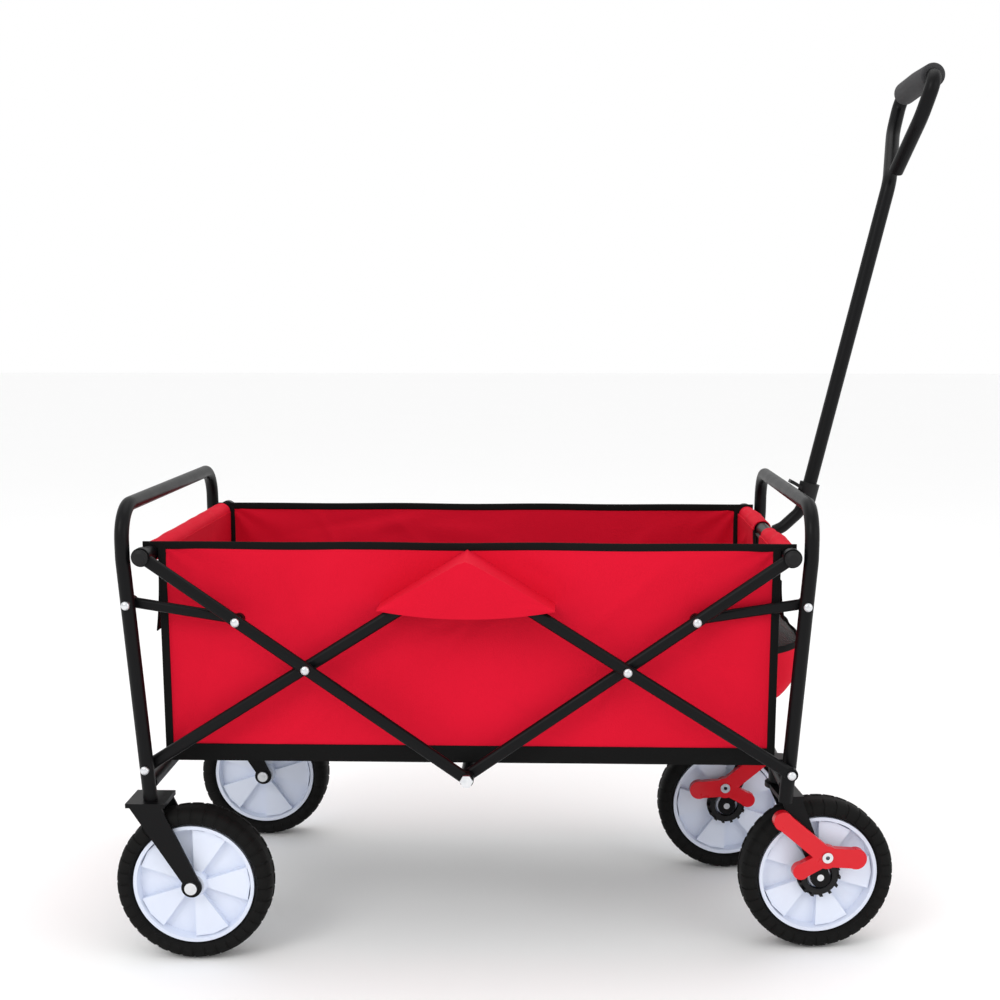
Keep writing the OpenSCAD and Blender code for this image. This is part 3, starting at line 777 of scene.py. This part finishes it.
end_size = (2 * SIDE, TUBE_Z - FOOT)
corners + straps
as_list(sleeves[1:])
2 * SIDE
for piece, length in zip(sleeves, (2 * SLEEVE_END, SLEEVE_END - NOTCH, SLEEVE_END - NOTCH)):
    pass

# %% [markdown]
# ## Tyres
#
# The tyre is a solid foam-rubber ring with squared shoulders and a row of blocks along each shoulder. One
# cross-section is drawn as a circle, squared up, and spun round the wheel. The blocks are every other pair of
# shoulder faces, raised along their normals. It is made once and copied to the four wheels.

# %% Spin a tyre
tyre_low, tyre_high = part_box("rear_tyre_near")
TYRE_R = (tyre_high[2] - tyre_low[2]) / 2
TYRE_W = (tyre_high[1] - tyre_low[1]) / 2
RIM_R = (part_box("rear_rim_near")[1][2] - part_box("rear_rim_near")[0][2]) / 2
BLOCK = 0.8 * MM
STEPS = 144


def spun_tyre():
    bpy.ops.object.select_all(action="DESELECT")
    bpy.ops.mesh.primitive_circle_add(vertices=28, radius=1, fill_type="NOTHING")
    piece = named("tyre pattern")
    middle, half = (TYRE_R - BLOCK + RIM_R) / 2, (TYRE_R - BLOCK - RIM_R) / 2
    for point in piece.data.vertices:
        c, s = point.co.x, point.co.y
        across = math.copysign(abs(s) ** 0.62, s)
        out = math.copysign(abs(c) ** 0.8, c)
        point.co = (0, across * (TYRE_W - 0.3 * MM), middle + half * out)
    edit(piece, "EDGE")
    bpy.ops.mesh.select_all(action="SELECT")
    bpy.ops.mesh.spin(steps=STEPS, angle=2 * math.pi, center=(0, 0, 0), axis=(0, 1, 0))
    bpy.ops.mesh.select_all(action="SELECT")
    bpy.ops.mesh.remove_doubles(threshold=0.05 * MM)
    bpy.ops.mesh.normals_make_consistent(inside=False)
    bpy.ops.mesh.select_mode(type="FACE")

    def block(centre, _normal):
        radius = math.hypot(centre.x, centre.z)
        turn = math.atan2(centre.z, centre.x) / (2 * math.pi) * STEPS
        side = 0 if centre.y < 0 else 2
        shoulder = radius > TYRE_R - 15 * MM and abs(centre.y) > 7.5 * MM
        return shoulder and int(math.floor(turn) + side) % 4 < 3

    choose(piece, block)
    bpy.ops.mesh.extrude_region_shrink_fatten(
        MESH_OT_extrude_region={}, TRANSFORM_OT_shrink_fatten={"value": BLOCK}
    )
    close()
    smooth(piece, 40)
    return piece


pattern = spun_tyre()
wear(pattern, tyre_rubber)
print("tyre pattern has", len(pattern.data.polygons), "faces")


# %% Fit the tyres
def turn_of(joint):
    """The turn about Z of a wheel whose axle lies along the joint's axis"""
    axis = joint_of[joint]["axis"]
    return math.atan2(-axis[0], axis[1])


def copy_to(pattern_piece, name, centre, turn):
    piece = pattern_piece.copy()
    piece.data = pattern_piece.data.copy()
    label(piece, name)
    bpy.context.scene.collection.objects.link(piece)
    piece.location = centre
    piece.rotation_euler = (0, 0, turn)
    settle(piece)
    return piece


def centre_of(node):
    low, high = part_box(node)
    return tuple((a + b) / 2 for a, b in zip(low, high))


for axle in ("rear", "front"):
    for side in ("near", "far"):
        node = f"{axle}_tyre_{side}"
        tyre = copy_to(pattern, f"{axle} tyre {side}", centre_of(node), turn_of(f"{axle}_wheel_{side}_spin"))
        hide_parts(node)
        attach(tyre, f"{axle}_wheel_{side}")
bpy.data.objects.remove(pattern)
print("four tyres fitted")

# %% [markdown]
# ## Grip
#
# The grip is a foam tube pushed over the top of the hand loop. It is a little barrel-shaped, and a hard cap
# closes it at both ends, so it is a cylinder with its middle raised and its end edges rounded.

# %% Shape the grip
grip_low, grip_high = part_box("handle_grip")
GRIP_R = (grip_high[2] - grip_low[2]) / 2
GRIP_L = grip_high[1] - grip_low[1]
bpy.ops.object.select_all(action="DESELECT")
bpy.ops.mesh.primitive_cylinder_add(
    vertices=48, radius=GRIP_R, depth=GRIP_L, location=centre_of("handle_grip"), rotation=(math.pi / 2, 0, 0)
)
grip = named("foam grip")
settle(grip)
edit(grip)
choose(grip, lambda centre, normal: abs(normal.y) > 0.9)
bpy.ops.mesh.inset(thickness=4 * MM)
bpy.ops.mesh.inset(thickness=1 * MM)
close()
modify(grip, "BEVEL", width=2.5 * MM, segments=4, angle_limit=math.radians(60))
edit(grip)
bpy.ops.mesh.select_all(action="SELECT")
bpy.ops.mesh.bisect(plane_co=centre_of("handle_grip"), plane_no=(0, 1, 0))
close()
grip_middle = centre_of("handle_grip")
for point in grip.data.vertices:
    share = 1 - ((point.co.y - grip_middle[1]) / (GRIP_L / 2)) ** 2
    point.co.z += 1.5 * MM * share
smooth(grip, 40)
wear(grip, grip_foam)
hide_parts("handle_grip")
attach(grip, "handle")
print("grip", round(GRIP_L, 3), "m long")

# %% [markdown]
# ## Domed bolt heads
#
# The visible bolts have pan heads with a low dome. A dome is half a sphere, cut with bisect and pressed flat,
# made once and set on each bolt head.

# %% Set the domes
def dome_pattern():
    bpy.ops.object.select_all(action="DESELECT")
    bpy.ops.mesh.primitive_uv_sphere_add(segments=24, ring_count=12, radius=4.6 * MM)
    piece = named("dome pattern")
    edit(piece)
    bpy.ops.mesh.select_all(action="SELECT")
    bpy.ops.mesh.bisect(plane_co=(0, 0, 0), plane_no=(0, 0, 1), clear_inner=True, use_fill=True)
    bpy.ops.mesh.select_all(action="SELECT")
    bpy.ops.transform.resize(value=(1, 1, 0.5), center_override=(0, 0, 0))
    close()
    smooth(piece, 40)
    return wear(piece, zinc)


dome = dome_pattern()
dome_count = 0
for end, word in ((-1, "rear"), (1, "front")):
    cross = joint_of[f"{word}_short_bar_near_turn"]["pos_m"]
    link = joint_of[f"{word}_link_near_turn"]["pos_m"]
    foot = joint_of[f"{word}_frame_turn"]["pos_m"]
    link_low, link_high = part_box(f"{word}_link_near")
    leg = ((link_high[0] - 7.5 * MM) if end > 0 else (link_low[0] + 7.5 * MM), 0, link_high[2] - 7.5 * MM)
    scissor_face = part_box(f"{word}_scissor_bolts")[1][1]
    frame_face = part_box(f"{word}_frame_bolts")[1][1]
    spots = (
        ("cross", cross, scissor_face, f"{word}_scissor"),
        ("link", link, scissor_face - (14.5 * MM if end > 0 else 0), f"{word}_scissor"),
        ("foot", foot, frame_face, f"{word}_frame"),
        ("leg", leg, frame_face - (11.5 * MM if end > 0 else 0), f"{word}_frame"),
    )
    for part, spot, face, body in spots:
        for side in (-1, 1):
            piece = dome.copy()
            piece.data = dome.data.copy()
            label(piece, f"{word} {part} dome " + ("near" if side < 0 else "far"))
            bpy.context.scene.collection.objects.link(piece)
            piece.location = (spot[0], side * (face - 0.4 * MM), spot[2])
            piece.rotation_euler = (-side * math.pi / 2, 0, 0)
            settle(piece)
            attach(piece, body)
            dome_count += 1
bpy.data.objects.remove(dome)
print(dome_count, "domes set")

# %% [markdown]
# ## Floor, light and camera
#
# The wagon stands on a plain pale floor in a pale room. The soft light comes from the left, with a weaker
# one from the right and one above, so that the black tubes keep a highlight and the cloth shows its creases.

# %% Lay the floor
bpy.ops.object.select_all(action="DESELECT")
bpy.ops.mesh.primitive_plane_add(size=40, location=(MIDDLE, 0, -0.5 * MM))
ground = named("studio floor")
pale = Finish("pale floor", Roughness=0.9)
pale.vary("Base Color", pale.between(pale.grain(2.0), (0.95, 0.95, 0.95, 1), (0.96, 0.96, 0.96, 1)))
ground.data.materials.append(pale.material)

world = bpy.data.worlds.new("pale room")
bpy.context.scene.world = world
world.use_nodes = True
world.node_tree.nodes["Background"].inputs["Color"].default_value = (1, 1, 1, 1)
world.node_tree.nodes["Background"].inputs["Strength"].default_value = 1.0
bpy.context.scene.view_settings.view_transform = "Standard"


# %% Hang the lights
def lamp(name, place, size, power):
    """A square soft light that faces the wagon's middle"""
    light = bpy.data.lights.new(name, "AREA")
    light.size = size
    light.energy = power
    holder = bpy.data.objects.new(name, light)
    bpy.context.scene.collection.objects.link(holder)
    holder.location = place
    dx, dy, dz = (a - b for a, b in zip((MIDDLE, 0, 0.4), place))
    holder.rotation_euler = (math.acos(-dz / math.hypot(dx, dy, dz)), 0, math.atan2(-dx, dy))


lamp("key light", (-1.6, -2.4, 2.4), 1.4, 26)
lamp("fill light", (2.2, -1.8, 1.4), 1.6, 9)
lamp("top light", (0.2, 0.4, 3.0), 2.0, 14)

# %% Set the camera
CAMERA_YAW = 0.0311
CAMERA_DOWN = 0.1794
eye = bpy.data.cameras.new("camera")
eye.lens = 52.61
eye.sensor_width = 36
eye.shift_x = -0.0074
eye.shift_y = 0.0891
camera = bpy.data.objects.new("camera", eye)
bpy.context.scene.collection.objects.link(camera)
camera.location = (MIDDLE + 0.0941, -1.7815, 0.7144)
camera.rotation_euler = (math.pi / 2 - CAMERA_DOWN, 0, CAMERA_YAW)
bpy.context.scene.camera = camera
